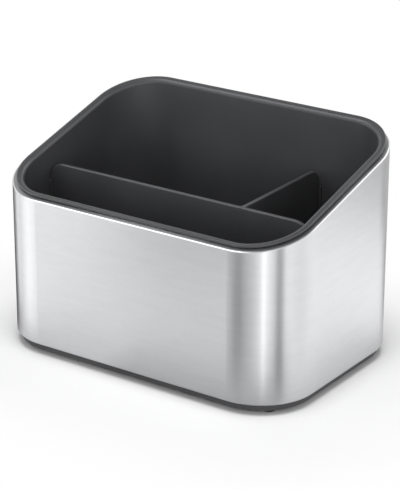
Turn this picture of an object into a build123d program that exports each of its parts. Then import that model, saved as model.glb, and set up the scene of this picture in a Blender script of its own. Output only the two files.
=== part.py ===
from build123d import *
from math import atan, cos, radians, sin, sqrt, tan
import os

os.makedirs("parts", exist_ok=True)

# Overall form in millimetres: X runs along the front, Y to the back and Z up from the worktop
caddy_width = 190.0
caddy_depth = 130.0
corner_radius = 32.3
front_height = 91.1
rim_slope = 15.0
overrun = 2.0

# Stand: rubber feet under a plinth that is set in from the steel
foot_stand = 2.1
foot_radius = 3.8
foot_edge_round = 0.5
foot_margin = 2.6
foot_gap = 0.2
plinth_height = 4.0
plinth_inset = 2.6

# Steel sleeve: sheet with a flange bent inwards along the slope and a hem bent inwards below
sheet = 0.7
flange_bend = 0.2
flange_reach = 4.3
hem_bend = 0.3
hem_reach = 7.0

# Liner: drafted tub with a rim bead that lies over the steel flange and grows towards the back
liner_wall = 1.8
liner_floor = 2.0
liner_draft = 0.5
liner_gap = 0.3
floor_round = 6.0
bead_inset = 2.3
bead_front_height = 2.0
bead_back_height = 3.6
bead_foot_round = 0.75
bead_outer_round = 0.5
bead_inner_round = 2.8

# Guide ribs: pairs on the left, right and back walls that hold the divider's ends
rib_thickness = 1.2
rib_reach = 1.4
rib_drop = 10.3
rib_lead = 0.4

# Drain slots in the liner's floor
drain_width = 3.0
drain_length = 16.0
drain_pitch = 12.0
drain_row_pitch = 28.0
drain_margin = 9.0

# Divider: one long partition with a short one behind it, in one moulding
partition_y = -18.5
partition_x = 40.5
divider_height = 95.3
divider_thickness = 2.4
divider_gap = 0.3
divider_top_round = 8.5
divider_right_round = 15.0
divider_heel_round = 8.0
divider_edge_round = 0.8
junction_round = 1.5
groove_radius = 2.6
groove_depth_low = 0.5
groove_depth_high = 0.25

# Base tray: plinth skirt, floor, inner lip, lugs over the hem and posts that carry the liner
skirt_wall = 1.8
skirt_edge_round = 0.5
tray_lift = 1.8
tray_floor = 1.7
lip_wall = 1.6
lip_gap = 0.3
lip_height = 4.0
lug_reach = 1.0
lug_height = 2.2
lug_width = 14.0
lug_gap = 0.1
lug_spread = 90.0
socket_wall = 1.4
post_clearance = 2.0
post_span = 24.0
post_thickness = 1.6
post_pitch_x = 58.0
post_pitch_y = 52.0

# Places that follow from the sizes above
slope = radians(rim_slope)
draft_rate = tan(radians(liner_draft))
back_height = front_height + caddy_depth * tan(slope)
bead_slope = atan(tan(slope) + (bead_back_height - bead_front_height) / caddy_depth)
sleeve_bottom = foot_stand + plinth_height
tray_underside = foot_stand + tray_lift
tray_top = tray_underside + tray_floor
lip_inset = hem_reach + lip_gap
lip_top = sleeve_bottom + lip_height
liner_bottom = lip_top + post_clearance
liner_floor_top = liner_bottom + liner_floor
liner_inset = flange_reach + liner_gap
liner_inner_inset = liner_inset + liner_wall
blank_top = back_height + bead_back_height + overrun
rib_top = divider_height - rib_drop
rib_offset = divider_thickness / 2 + divider_gap + rib_thickness / 2


def sloped_plane(front, angle):
    """Plane that rises to the back at an angle, from a height at the front of the plan."""
    return Plane(
        origin=(0, -caddy_depth / 2, front),
        x_dir=(1, 0, 0),
        z_dir=(0, -sin(angle), cos(angle)),
    )


def rim_plane(lift):
    """Plane of the sloped steel edge, raised by lift."""
    return sloped_plane(front_height + lift, slope)


def plan_outline(inset, mode=Mode.ADD):
    """Rounded plan of the caddy, drawn in by inset, for the sketch that is open."""
    RectangleRounded(
        caddy_width - 2 * inset,
        caddy_depth - 2 * inset,
        corner_radius - inset,
        mode=mode,
    )


def upright_block(inset, bottom, top_plane):
    """Upright block on the plan, from bottom up to a sloped plane."""
    with BuildPart() as block:
        with BuildSketch(Plane.XY.offset(bottom)):
            plan_outline(inset)
        extrude(amount=blank_top - bottom)
        split(bisect_by=top_plane, keep=Keep.BOTTOM)
    return block.part


def drafted_inset(inset, height):
    """Inset of a drafted face at a height, where inset is that at the back of the steel edge."""
    return inset + (back_height - height) * draft_rate


def drafted_block(inset, bottom, top):
    """Block that widens upwards with the liner's draft."""
    with BuildPart() as block:
        with BuildSketch(Plane.XY.offset(bottom)):
            plan_outline(drafted_inset(inset, bottom))
        extrude(amount=top - bottom, taper=-liner_draft)
    return block.part


def finish_piece(piece, name):
    """Label a finished sub-part and write its file."""
    piece.part.label = name
    export_step(piece.part, "parts/" + name + ".step")


def sleeve_skin(inset):
    """Closed form of the sleeve, drawn in on every side by inset."""
    with BuildPart() as skin:
        add(upright_block(inset, sleeve_bottom + inset, rim_plane(-inset / cos(slope))))
        fillet(skin.faces().sort_by(Axis.Z)[-1].edges(), flange_bend + sheet - inset)
        fillet(skin.faces().sort_by(Axis.Z)[0].edges(), hem_bend + sheet - inset)
    return skin.part


# Outer sleeve

with BuildPart() as outer_sleeve:
    add(sleeve_skin(0))
    add(sleeve_skin(sheet), mode=Mode.SUBTRACT)
    # Mouth inside the rolled flange
    add(upright_block(flange_reach, sleeve_bottom + overrun, rim_plane(overrun)), mode=Mode.SUBTRACT)
    # Opening inside the bottom hem
    with BuildSketch(Plane.XY.offset(sleeve_bottom - overrun)):
        plan_outline(hem_reach)
    extrude(amount=2 * overrun + sheet, mode=Mode.SUBTRACT)
finish_piece(outer_sleeve, "outer_sleeve")

# Inner liner

floor_inset = drafted_inset(liner_inner_inset, liner_floor_top)
floor_right = caddy_width / 2 - floor_inset
floor_back = caddy_depth / 2 - floor_inset
compartment_floors = [
    (-floor_right, -floor_back, floor_right, partition_y),
    (-floor_right, partition_y, partition_x, floor_back),
    (partition_x, partition_y, floor_right, floor_back),
]

bead_top = sloped_plane(front_height + bead_front_height, bead_slope)
bead_foot = rim_plane(liner_gap)

with BuildPart() as rim_bead:
    add(upright_block(bead_inset, liner_bottom, bead_top))
    split(bisect_by=bead_foot, keep=Keep.TOP)
    fillet(rim_bead.faces().filter_by(bead_foot).sort_by(Axis.Z)[0].edges(), bead_foot_round)

with BuildPart() as cavity:
    add(drafted_block(liner_inner_inset, liner_floor_top, blank_top))
    fillet(cavity.faces().sort_by(Axis.Z)[0].edges(), floor_round)

with BuildPart() as guide_ribs:
    with BuildSketch(Plane.XY.offset(liner_floor_top)):
        with Locations((0, partition_y - rib_offset), (0, partition_y + rib_offset)):
            Rectangle(caddy_width, rib_thickness)
        with Locations((partition_x - rib_offset, 0), (partition_x + rib_offset, 0)):
            Rectangle(rib_thickness, caddy_depth / 2, align=(Align.CENTER, Align.MIN))
    extrude(amount=rib_top - liner_floor_top)
    add(drafted_block(liner_inset + liner_wall / 2, liner_bottom, blank_top), mode=Mode.INTERSECT)
    add(drafted_block(liner_inner_inset + rib_reach, liner_bottom, blank_top), mode=Mode.SUBTRACT)
    chamfer(guide_ribs.faces().filter_by(Axis.Z).group_by(Axis.Z)[-1].edges(), rib_lead)

with BuildPart() as inner_liner:
    add(drafted_block(liner_inset, liner_bottom, blank_top))
    split(bisect_by=bead_top, keep=Keep.BOTTOM)
    fillet(inner_liner.faces().sort_by(Axis.Z)[0].edges(), floor_round + liner_wall)
    add(rim_bead.part)
    add(cavity.part, mode=Mode.SUBTRACT)
    rim_face = inner_liner.faces().filter_by(bead_top).sort_by(Axis.Z)[-1]
    fillet(rim_face.outer_wire().edges(), bead_outer_round)
    rim_face = inner_liner.faces().filter_by(bead_top).sort_by(Axis.Z)[-1]
    fillet(rim_face.inner_wires()[0].edges(), bead_inner_round)
    add(guide_ribs.part)
    # Drain slots, as many as fit on each compartment's floor
    for left, front, right, back in compartment_floors:
        columns = int((right - left - 2 * drain_margin) / drain_pitch) + 1
        rows = int((back - front - 2 * drain_margin - drain_length) / drain_row_pitch) + 1
        with BuildSketch(Plane.XY.offset(liner_bottom - overrun)):
            with Locations(((left + right) / 2, (front + back) / 2)):
                with GridLocations(drain_pitch, drain_row_pitch, columns, rows):
                    SlotOverall(drain_length, drain_width, rotation=90)
        extrude(amount=liner_floor + 2 * overrun, mode=Mode.SUBTRACT)
finish_piece(inner_liner, "inner_liner")

# Divider

end_inset = liner_inner_inset + divider_gap
heel_inset = drafted_inset(end_inset, liner_floor_top)
head_inset = drafted_inset(end_inset, divider_height)
front_face_y = partition_y - divider_thickness / 2

with BuildPart() as divider:
    with BuildSketch(Plane.XZ.offset(-partition_y)) as long_profile:
        Polygon(
            (heel_inset - caddy_width / 2, liner_floor_top),
            (caddy_width / 2 - heel_inset, liner_floor_top),
            (caddy_width / 2 - head_inset, divider_height),
            (head_inset - caddy_width / 2, divider_height),
            align=None,
        )
        fillet(long_profile.vertices().group_by(Axis.Y)[-1].sort_by(Axis.X)[0], divider_top_round)
        fillet(long_profile.vertices().group_by(Axis.Y)[-1].sort_by(Axis.X)[-1], divider_right_round)
        fillet(long_profile.vertices().group_by(Axis.Y)[0], divider_heel_round)
    extrude(amount=divider_thickness / 2, both=True)
    with BuildSketch(Plane.YZ.offset(partition_x)) as short_profile:
        Polygon(
            (partition_y, liner_floor_top),
            (caddy_depth / 2 - heel_inset, liner_floor_top),
            (caddy_depth / 2 - head_inset, divider_height),
            (partition_y, divider_height),
            align=None,
        )
        fillet(short_profile.vertices().sort_by(Axis.X)[-1], divider_top_round)
        fillet(short_profile.vertices().group_by(Axis.Y)[0].sort_by(Axis.X)[-1], divider_heel_round)
    extrude(amount=divider_thickness / 2, both=True)
    fillet(divider.edges().filter_by(Axis.Z), junction_round)
    fillet(divider.faces().sort_by(Axis.Z)[-1].edges(), divider_edge_round)
    # Shallow groove down the front face, opposite the junction, that deepens towards the floor
    with BuildSketch(Plane.XY.offset(liner_floor_top - overrun)):
        with Locations((partition_x, front_face_y + groove_depth_low - groove_radius)):
            Circle(groove_radius)
    with BuildSketch(Plane.XY.offset(divider_height + overrun)):
        with Locations((partition_x, front_face_y + groove_depth_high - groove_radius)):
            Circle(groove_radius)
    loft(mode=Mode.SUBTRACT)
finish_piece(divider, "divider")

# Base tray

socket_radius = foot_radius + foot_gap
corner_reach = corner_radius - plinth_inset - foot_margin - foot_radius
foot_x = caddy_width / 2 - corner_radius + corner_reach / sqrt(2)
foot_y = caddy_depth / 2 - corner_radius + corner_reach / sqrt(2)
lug_bottom = sleeve_bottom + sheet + lug_gap
lug_planes = []
for side in (-1, 1):
    for along in (-lug_spread / 2, lug_spread / 2):
        long_side = (along, side * (caddy_depth / 2 - lip_inset), lug_bottom)
        lug_planes.append(Plane(origin=long_side, x_dir=(0, side, 0), z_dir=(side, 0, 0)))
    short_side = (side * (caddy_width / 2 - lip_inset), 0, lug_bottom)
    lug_planes.append(Plane(origin=short_side, x_dir=(side, 0, 0), z_dir=(0, -side, 0)))

with BuildPart() as base_tray:
    # Skirt that shows as the plinth and carries the steel hem on its top
    with BuildSketch(Plane.XY.offset(foot_stand)):
        plan_outline(plinth_inset)
    extrude(amount=plinth_height)
    fillet(base_tray.faces().sort_by(Axis.Z)[0].edges(), skirt_edge_round)
    with BuildSketch(Plane.XY.offset(foot_stand)):
        plan_outline(plinth_inset + skirt_wall)
    extrude(amount=tray_lift, mode=Mode.SUBTRACT)
    # Lip that stands inside the hem, round the tray's floor
    with BuildSketch(Plane.XY.offset(tray_top)):
        plan_outline(lip_inset)
    extrude(amount=lip_top - tray_top)
    with BuildSketch(Plane.XY.offset(tray_top)):
        plan_outline(lip_inset + lip_wall)
    extrude(amount=lip_top - tray_top, mode=Mode.SUBTRACT)
    # Lugs that snap over the hem
    for lug_plane in lug_planes:
        with BuildSketch(lug_plane):
            Polygon(
                (-lip_wall / 2, 0),
                (lug_reach, 0),
                (0, lug_height),
                (-lip_wall / 2, lug_height),
                align=None,
            )
        extrude(amount=lug_width / 2, both=True)
    # Posts that carry the liner clear of the drip water
    with BuildSketch(Plane.XY.offset(tray_top)):
        with GridLocations(post_pitch_x, post_pitch_y, 3, 2):
            Rectangle(post_span, post_thickness)
            Rectangle(post_thickness, post_span)
    extrude(amount=liner_bottom - tray_top)
    # Sockets for the feet, in the corners of the skirt
    with BuildSketch(Plane.XY.offset(foot_stand)):
        with GridLocations(2 * foot_x, 2 * foot_y, 2, 2):
            Circle(socket_radius + socket_wall)
        plan_outline(plinth_inset + skirt_wall / 2, mode=Mode.INTERSECT)
    extrude(amount=tray_lift)
    with BuildSketch(Plane.XY.offset(foot_stand)):
        with GridLocations(2 * foot_x, 2 * foot_y, 2, 2):
            Circle(socket_radius)
    extrude(amount=tray_lift, mode=Mode.SUBTRACT)
finish_piece(base_tray, "base_tray")

# Feet

foot_places = {
    "foot_front_left": (-foot_x, -foot_y),
    "foot_front_right": (foot_x, -foot_y),
    "foot_back_left": (-foot_x, foot_y),
    "foot_back_right": (foot_x, foot_y),
}
for foot_name, foot_place in foot_places.items():
    with BuildPart() as foot:
        with BuildSketch():
            with Locations(foot_place):
                Circle(foot_radius)
        extrude(amount=tray_underside)
        fillet(foot.faces().sort_by(Axis.Z)[0].edges(), foot_edge_round)
    finish_piece(foot, foot_name)
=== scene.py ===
import math

import bpy
from mathutils import Matrix, Vector


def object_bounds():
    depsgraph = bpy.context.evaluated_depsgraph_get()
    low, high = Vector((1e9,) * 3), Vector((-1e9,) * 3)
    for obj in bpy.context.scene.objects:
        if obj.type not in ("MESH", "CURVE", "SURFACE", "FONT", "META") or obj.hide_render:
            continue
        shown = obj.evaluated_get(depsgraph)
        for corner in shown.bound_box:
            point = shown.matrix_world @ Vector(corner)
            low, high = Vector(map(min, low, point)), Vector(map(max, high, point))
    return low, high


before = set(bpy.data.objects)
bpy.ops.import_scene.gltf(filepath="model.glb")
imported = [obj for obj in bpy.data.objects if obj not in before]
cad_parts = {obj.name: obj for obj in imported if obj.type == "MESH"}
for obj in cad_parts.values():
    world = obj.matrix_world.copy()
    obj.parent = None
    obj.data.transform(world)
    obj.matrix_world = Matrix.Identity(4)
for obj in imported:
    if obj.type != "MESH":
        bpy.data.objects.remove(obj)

cad_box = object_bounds()

# Camera: the photograph's fitted view, in metres, with the lens in millimetres
CAMERA_PLACE = Vector((0.59454, -0.85175, 0.46653))
CAMERA_TARGET = Vector((0.00078, 0.0, 0.05911))
CAMERA_ROLL = math.radians(0.0775)
LENS = 148.81
SENSOR = 36.0
CLIP_NEAR = 0.01
CLIP_FAR = 50.0

# Floor: a pale sheet that fades outwards, to plain white for the camera and to nothing much
# for gloss. Distances are measured from the caddy's rounded plan
FLOOR_SIZE = 6.0
FLOOR_COLOUR = (0.9, 0.9, 0.905, 1.0)
FLOOR_WHITE_REACH = 0.1
FLOOR_SOLID_REACH = (0.01, 0.06)
FLOOR_SEEN_IN_GLOSS = 0.4
PLAN_CORNER = 0.0323

# Studio light: a broad soft sun nearly overhead, and a fill from the front. The fill grows
# with the cosine towards the front and fades with the sine of the elevation
SUN_STRENGTH = 1.75
SUN_ANGLE = math.radians(28.0)
SUN_TILT = math.radians(10.0)
FRONT_AZIMUTH = math.radians(35.0)
FRONT_FILL = 2.8
BACK_FILL = 0.12
FILL_EDGES = (-0.3, 0.7)
FILL_TOP = 0.8

# Studio cards, seen by metal and gloss alone: azimuth in degrees from the front (-Y) towards
# the right (+X), and level. White cards have grey and black ones between them
CARD_SCALE = 2.6
CARDS = [
    (-180.0, 0.15),
    (-150.0, 0.2),
    (-124.0, 0.0),
    (-107.0, 0.0),
    (-97.0, 1.5),
    (-87.0, 0.9),
    (-72.0, 1.5),
    (-64.0, 1.8),
    (-54.0, 1.8),
    (-46.0, 1.5),
    (-40.2, 1.32),
    (-37.0, 0.9),
    (-34.2, 0.62),
    (-28.0, 0.3),
    (-22.0, 0.12),
    (-14.0, 0.0),
    (-7.0, 0.05),
    (3.0, 0.35),
    (15.0, 0.58),
    (30.0, 1.1),
    (38.0, 2.45),
    (45.0, 1.55),
    (58.0, 1.05),
    (64.0, 0.1),
    (70.0, 0.0),
    (80.0, 1.3),
    (114.0, 1.04),
    (134.0, 1.2),
    (146.0, 1.4),
    (157.0, 1.42),
    (171.0, 1.05),
    (180.0, 0.35),
]
# Above the cards: level, and the sines of the elevation between which each one fades in
LAYERS = [
    (1.25, -0.08, 0.08),  # pale band
    (0.35, 0.4, 0.6),  # grey wall
    (0.2, 0.8, 0.95),  # dim ceiling
]
# Round softboxes: azimuth, elevation, cosines of the outer and inner edge, and level
SOFTBOXES = [
    (-52.0, 50.0, 0.91, 0.975, 3.8),
    (152.0, 28.0, 0.87, 0.96, 2.2),
]

# Painted dark patches on the floor, seen in gloss alone: painted shade beside the front face, and
# painted dark reflections further off. Azimuth that they lie in, distance of their near and far
# edges, their middle and half width across, and darkness
PAINTED_DARK_PATCHES = [
    (0.0, 0.22, 0.6, -0.112, 0.036, 1.0),
    (180.0, 0.235, 0.9, -0.32, 0.2, 0.62),
    (0.0, 0.05, 0.1, 0.07, 0.1, 0.55),
    (-12.0, 0.1, 0.5, 0.092, 0.03, 0.3),
    (-120.0, 0.06, 0.4, 0.05, 0.06, 1.0),
]
PATCH_SOFTNESS = 0.025
# Shade beside the caddy, seen in gloss alone
NEAR_SHADE = 0.3
NEAR_REACH = 0.06

# The noise values that the materials spread over their whole range
NOISE_RANGE = (0.3, 0.7)

# Brushed steel. Noises are scale, detail and roughness, and lengths are in metres
STEEL_COLOURS = ((0.648, 0.653, 0.663, 1.0), (0.697, 0.702, 0.713, 1.0))
STEEL_ROUGHNESS = (0.29, 0.28)
STEEL_STRETCH = 0.85
STEEL_TURN = 0.25
FINE_SCALE = (50.0, 50.0, 220.0)
FINE_NOISE = (1.0, 3.0, 0.9)
FINE_SHARE = 0.7
STREAK_SCALE = (14.0, 14.0, 420.0)
STREAK_NOISE = (1.0, 2.0, 0.6)
STREAK_SHARE = 0.3
GRAIN_STRENGTH = 0.12
GRAIN_DEPTH = 0.000002
SMUDGE_NOISE = (16.0, 2.0, 0.5)
SMUDGE_ROUGHNESS = (-0.004, 0.004)
WAVE_NOISE = (13.0, 1.0, 0.4)
WAVE_DEPTH = 0.00012

# Moulded plastic
LINER_COLOUR = (0.047, 0.048, 0.051)
BASE_COLOUR = (0.04, 0.04, 0.042)
TINT_RANGE = (0.85, 1.15)
FLOW_NOISE = (22.0, 3.0, 0.5)
FLOW_ROUGHNESS = (-0.02, 0.02)
MOULD_NOISE = (2600.0, 2.0, 0.6)
MOULD_ROUGHNESS = (0.34, 0.42)
MOULD_STRENGTH = 0.25
MOULD_DEPTH = 0.00004
PLASTIC_IOR = 1.55

# Rubber
RUBBER_COLOURS = ((0.022, 0.022, 0.022, 1.0), (0.034, 0.034, 0.033, 1.0))
RUBBER_NOISE = (3500.0, 3.0, 0.6)
RUBBER_ROUGHNESS = (0.66, 0.78)
RUBBER_STRENGTH = 0.3
RUBBER_DEPTH = 0.00003


def make_camera():
    data = bpy.data.cameras.new("camera")
    data.lens = LENS
    data.sensor_width = SENSOR
    data.clip_start = CLIP_NEAR
    data.clip_end = CLIP_FAR
    camera = bpy.data.objects.new("camera", data)
    bpy.context.scene.collection.objects.link(camera)
    look = (CAMERA_TARGET - CAMERA_PLACE).to_track_quat("-Z", "Y").to_matrix().to_4x4()
    roll = Matrix.Rotation(CAMERA_ROLL, 4, "Z")
    camera.matrix_world = Matrix.Translation(CAMERA_PLACE) @ look @ roll
    bpy.context.scene.camera = camera


class Graph:
    """Small helper that adds and joins shader nodes."""

    def __init__(self, tree):
        self.tree = tree
        tree.nodes.clear()

    def add(self, kind, inputs=None, **settings):
        """New node with these settings, and a value or a link at each of these inputs."""
        node = self.tree.nodes.new(kind)
        for name, value in settings.items():
            setattr(node, name, value)
        for key, value in (inputs or {}).items():
            if isinstance(value, bpy.types.NodeSocket):
                self.tree.links.new(value, node.inputs[key])
            else:
                node.inputs[key].default_value = value
        return node

    def place(self):
        """Place on the object, in metres."""
        return self.add("ShaderNodeTexCoord").outputs["Object"]

    def split(self, vector):
        return self.add("ShaderNodeSeparateXYZ", {"Vector": vector}).outputs

    def math(self, operation, a, b=0.0, c=0.0):
        return self.add("ShaderNodeMath", {0: a, 1: b, 2: c}, operation=operation).outputs[0]

    def weigh(self, a, a_share, b, b_share):
        """Sum of two numbers, each times its share."""
        a = self.math("MULTIPLY", a, a_share)
        b = self.math("MULTIPLY", b, b_share)
        return self.math("ADD", a, b)

    def vector(self, operation, a, b=(0.0, 0.0, 0.0), output="Vector"):
        return self.add("ShaderNodeVectorMath", {0: a, 1: b}, operation=operation).outputs[output]

    def ramp(self, value, low, high, to_low=0.0, to_high=1.0, smooth=False):
        ends = {"From Min": low, "From Max": high, "To Min": to_low, "To Max": to_high}
        node = self.add(
            "ShaderNodeMapRange",
            {"Value": value, **ends},
            interpolation_type="SMOOTHSTEP" if smooth else "LINEAR",
        )
        return node.outputs["Result"]

    def blend(self, factor, a, b):
        """Number between a and b."""
        return self.add("ShaderNodeMix", {0: factor, 2: a, 3: b}, data_type="FLOAT").outputs[0]

    def mix(self, factor, a, b):
        """Colour between a and b."""
        return self.add("ShaderNodeMix", {0: factor, 6: a, 7: b}, data_type="RGBA").outputs[2]

    def mix_shader(self, factor, a, b):
        inputs = {0: factor, 1: a.outputs[0], 2: b.outputs[0]}
        return self.add("ShaderNodeMixShader", inputs)

    def stops(self, value, cards):
        """Share of CARD_SCALE by azimuth, from 0 to 1 round the circle, eased between cards."""
        node = self.add("ShaderNodeValToRGB", {"Fac": value})
        ramp = node.color_ramp
        ramp.interpolation = "EASE"
        for _ in range(len(cards) - len(ramp.elements)):
            ramp.elements.new(1.0)
        for element, (azimuth, level) in zip(ramp.elements, cards):
            element.position = (azimuth + 180.0) / 360.0
            share = level / CARD_SCALE
            element.color = (share, share, share, 1.0)
        return node.outputs["Color"]

    def noise(self, vector, scale, detail, roughness):
        node = self.add(
            "ShaderNodeTexNoise",
            {"Vector": vector, "Scale": scale, "Detail": detail, "Roughness": roughness},
        )
        return node.outputs["Fac"]

    def stretched(self, vector, scale):
        return self.add("ShaderNodeMapping", {"Vector": vector, "Scale": scale}).outputs["Vector"]

    def bump(self, height, strength, depth, **normal):
        inputs = {"Strength": strength, "Distance": depth, "Height": height}
        return self.add("ShaderNodeBump", {**inputs, **normal}).outputs[0]


def make_world():
    world = bpy.data.worlds.new("studio")
    world.use_nodes = True
    bpy.context.scene.world = world
    g = Graph(world.node_tree)
    direction = g.add("ShaderNodeTexCoord").outputs["Generated"]
    x, y, z = g.split(direction)
    azimuth = g.math("DEGREES", g.math("ARCTAN2", x, g.math("MULTIPLY", y, -1.0)))
    level = g.math("MULTIPLY", g.stops(g.ramp(azimuth, -180.0, 180.0), CARDS), CARD_SCALE)
    for brightness, low, high in LAYERS:
        level = g.blend(g.ramp(z, low, high, smooth=True), level, brightness)
    for around, up, outer, inner, brightness in SOFTBOXES:
        around = math.radians(around)
        up = math.radians(up)
        flat = math.cos(up)
        aim = (math.sin(around) * flat, -math.cos(around) * flat, math.sin(up))
        near = g.vector("DOT_PRODUCT", direction, aim, output="Value")
        level = g.blend(g.ramp(near, outer, inner, smooth=True), level, brightness)
    path = g.add("ShaderNodeLightPath")
    facing = g.weigh(x, math.sin(FRONT_AZIMUTH), y, -math.cos(FRONT_AZIMUTH))
    fill = g.ramp(facing, *FILL_EDGES, 0.0, FRONT_FILL, smooth=True)
    fill = g.math("MULTIPLY_ADD", fill, g.ramp(z, 0.0, FILL_TOP, 1.0, 0.0), BACK_FILL)
    level = g.blend(path.outputs["Is Diffuse Ray"], level, fill)
    level = g.blend(path.outputs["Is Camera Ray"], level, 1.0)
    white = (1.0, 1.0, 1.0, 1.0)
    background = g.add("ShaderNodeBackground", {"Color": white, "Strength": level})
    g.add("ShaderNodeOutputWorld", {"Surface": background.outputs[0]})


def make_sun():
    data = bpy.data.lights.new("sun", "SUN")
    data.energy = SUN_STRENGTH
    data.angle = SUN_ANGLE
    lamp = bpy.data.objects.new("sun", data)
    lamp.rotation_euler = (SUN_TILT, 0.0, FRONT_AZIMUTH)
    lamp.visible_glossy = False
    bpy.context.scene.collection.objects.link(lamp)


def distance_from_plan(g):
    """Distance on the floor from the rounded plan of the caddy."""
    low, high = cad_box
    core = ((high[0] - low[0]) / 2 - PLAN_CORNER, (high[1] - low[1]) / 2 - PLAN_CORNER, 1.0)
    place = g.vector("SUBTRACT", g.vector("ABSOLUTE", g.place()), core)
    place = g.vector("MAXIMUM", place)
    return g.math("SUBTRACT", g.vector("LENGTH", place, output="Value"), PLAN_CORNER)


def patch_edge(g, distance, edge, to_low, to_high):
    """Soft step at the edge of a painted dark patch."""
    low, high = edge - PATCH_SOFTNESS, edge + PATCH_SOFTNESS
    return g.ramp(distance, low, high, to_low, to_high, smooth=True)


def painted_floor_shade(g, away):
    """Painted darkness of the floor in gloss: shade beside the caddy, dark patches further off.
    """
    x, y, _ = g.split(g.place())
    shade = g.ramp(away, 0.0, NEAR_REACH, NEAR_SHADE, 0.0, smooth=True)
    for azimuth, start, end, middle, half_width, darkness in PAINTED_DARK_PATCHES:
        sine = math.sin(math.radians(azimuth))
        cosine = math.cos(math.radians(azimuth))
        along = g.weigh(x, sine, y, -cosine)
        across = g.weigh(x, cosine, y, sine)
        across = g.math("ABSOLUTE", g.math("SUBTRACT", across, middle))
        reach = patch_edge(g, along, start, 0.0, 1.0)
        width = patch_edge(g, across, half_width, darkness, 0.0)
        reach = g.math("MULTIPLY", reach, patch_edge(g, along, end, 1.0, 0.0))
        shade = g.math("MAXIMUM", shade, g.math("MULTIPLY", reach, width))
    return shade


def make_floor():
    mesh = bpy.data.meshes.new("floor")
    half = FLOOR_SIZE / 2
    corners = [(-half, -half, 0), (half, -half, 0), (half, half, 0), (-half, half, 0)]
    mesh.from_pydata(corners, [], [(0, 1, 2, 3)])
    floor = bpy.data.objects.new("floor", mesh)
    bpy.context.scene.collection.objects.link(floor)
    material, g = new_material("floor")
    diffuse = g.add("ShaderNodeBsdfDiffuse", {"Color": FLOOR_COLOUR})
    white = g.add("ShaderNodeEmission", {"Strength": 1.0})
    clear = g.add("ShaderNodeBsdfTransparent")
    black = g.add("ShaderNodeEmission", {"Strength": 0.0})
    path = g.add("ShaderNodeLightPath")
    in_camera = path.outputs["Is Camera Ray"]
    in_gloss = path.outputs["Is Glossy Ray"]
    away = distance_from_plan(g)
    whiteness = g.ramp(away, 0.0, FLOOR_WHITE_REACH, smooth=True)
    thinness = g.ramp(away, *FLOOR_SOLID_REACH, 0.0, 1.0 - FLOOR_SEEN_IN_GLOSS, smooth=True)
    surface = g.mix_shader(g.math("MULTIPLY", whiteness, in_camera), diffuse, white)
    surface = g.mix_shader(g.math("MULTIPLY", thinness, in_gloss), surface, clear)
    # Painted shade beside the caddy and painted dark reflections, mixed in as black for gloss
    # rays alone
    surface = g.mix_shader(g.math("MULTIPLY", painted_floor_shade(g, away), in_gloss), surface, black)
    finish_material(g, surface)
    mesh.materials.append(material)


def new_material(name):
    material = bpy.data.materials.new(name)
    material.use_nodes = True
    return material, Graph(material.node_tree)


def finish_material(g, shader):
    g.add("ShaderNodeOutputMaterial", {"Surface": shader.outputs[0]})


def brushed_steel():
    """Steel sheet with a fine horizontal grain, faint streaks and a sheet's slight waves."""
    material, g = new_material("brushed_steel")
    place = g.place()
    fine = g.noise(g.stretched(place, FINE_SCALE), *FINE_NOISE)
    streaks = g.noise(g.stretched(place, STREAK_SCALE), *STREAK_NOISE)
    smudge = g.noise(place, *SMUDGE_NOISE)
    grain = g.math("MULTIPLY_ADD", fine, FINE_SHARE, g.math("MULTIPLY", streaks, STREAK_SHARE))
    colour = g.mix(g.ramp(grain, *NOISE_RANGE), *STEEL_COLOURS)
    roughness = g.math(
        "ADD",
        g.ramp(grain, *NOISE_RANGE, *STEEL_ROUGHNESS),
        g.ramp(smudge, *NOISE_RANGE, *SMUDGE_ROUGHNESS),
    )
    waves = g.bump(g.noise(place, *WAVE_NOISE), 1.0, WAVE_DEPTH)
    shader = g.add(
        "ShaderNodeBsdfPrincipled",
        {
            "Base Color": colour,
            "Metallic": 1.0,
            "Roughness": roughness,
            "Anisotropic": STEEL_STRETCH,
            "Anisotropic Rotation": STEEL_TURN,
            "Normal": g.bump(grain, GRAIN_STRENGTH, GRAIN_DEPTH, Normal=waves),
            "Tangent": g.add("ShaderNodeTangent", direction_type="RADIAL", axis="Z").outputs[0],
        },
    )
    finish_material(g, shader)
    return material


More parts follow.
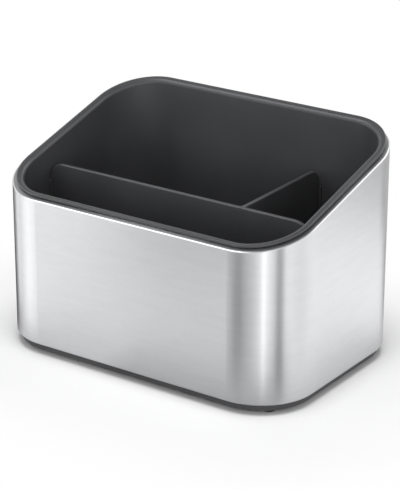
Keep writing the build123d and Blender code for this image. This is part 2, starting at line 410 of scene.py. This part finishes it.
def moulded_plastic(name, colour):
    """Satin dark plastic with a fine moulded grain."""
    material, g = new_material(name)
    place = g.place()
    grain = g.noise(place, *MOULD_NOISE)
    flow = g.noise(place, *FLOW_NOISE)
    dark, light = (tuple(tint * c for c in colour) + (1.0,) for tint in TINT_RANGE)
    roughness = g.math(
        "ADD",
        g.ramp(grain, *NOISE_RANGE, *MOULD_ROUGHNESS),
        g.ramp(flow, *NOISE_RANGE, *FLOW_ROUGHNESS),
    )
    shader = g.add(
        "ShaderNodeBsdfPrincipled",
        {
            "Base Color": g.mix(g.ramp(flow, *NOISE_RANGE), dark, light),
            "Roughness": roughness,
            "Normal": g.bump(grain, MOULD_STRENGTH, MOULD_DEPTH),
            "IOR": PLASTIC_IOR,
        },
    )
    finish_material(g, shader)
    return material


def soft_rubber():
    """Matt black rubber."""
    material, g = new_material("foot_rubber")
    grain = g.noise(g.place(), *RUBBER_NOISE)
    shader = g.add(
        "ShaderNodeBsdfPrincipled",
        {
            "Base Color": g.mix(g.ramp(grain, *NOISE_RANGE), *RUBBER_COLOURS),
            "Roughness": g.ramp(grain, *NOISE_RANGE, *RUBBER_ROUGHNESS),
            "Normal": g.bump(grain, RUBBER_STRENGTH, RUBBER_DEPTH),
        },
    )
    finish_material(g, shader)
    return material


def dress(node, material):
    """Give a CAD node its material in every slot."""
    mesh = node.data
    if not mesh.materials:
        mesh.materials.append(material)
    for slot in node.material_slots:
        slot.material = material


make_camera()
make_world()
make_sun()
make_floor()

steel = brushed_steel()
liner_plastic = moulded_plastic("liner_plastic", LINER_COLOUR)
base_plastic = moulded_plastic("base_plastic", BASE_COLOUR)
rubber = soft_rubber()
FINISHES = {
    "outer_sleeve": steel,
    "inner_liner": liner_plastic,
    "divider": liner_plastic,
    "base_tray": base_plastic,
    "foot_front_left": rubber,
    "foot_front_right": rubber,
    "foot_back_left": rubber,
    "foot_back_right": rubber,
}
for node_name, finish in FINISHES.items():
    dress(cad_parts[node_name], finish)

bpy.context.scene.view_settings.view_transform = "Standard"
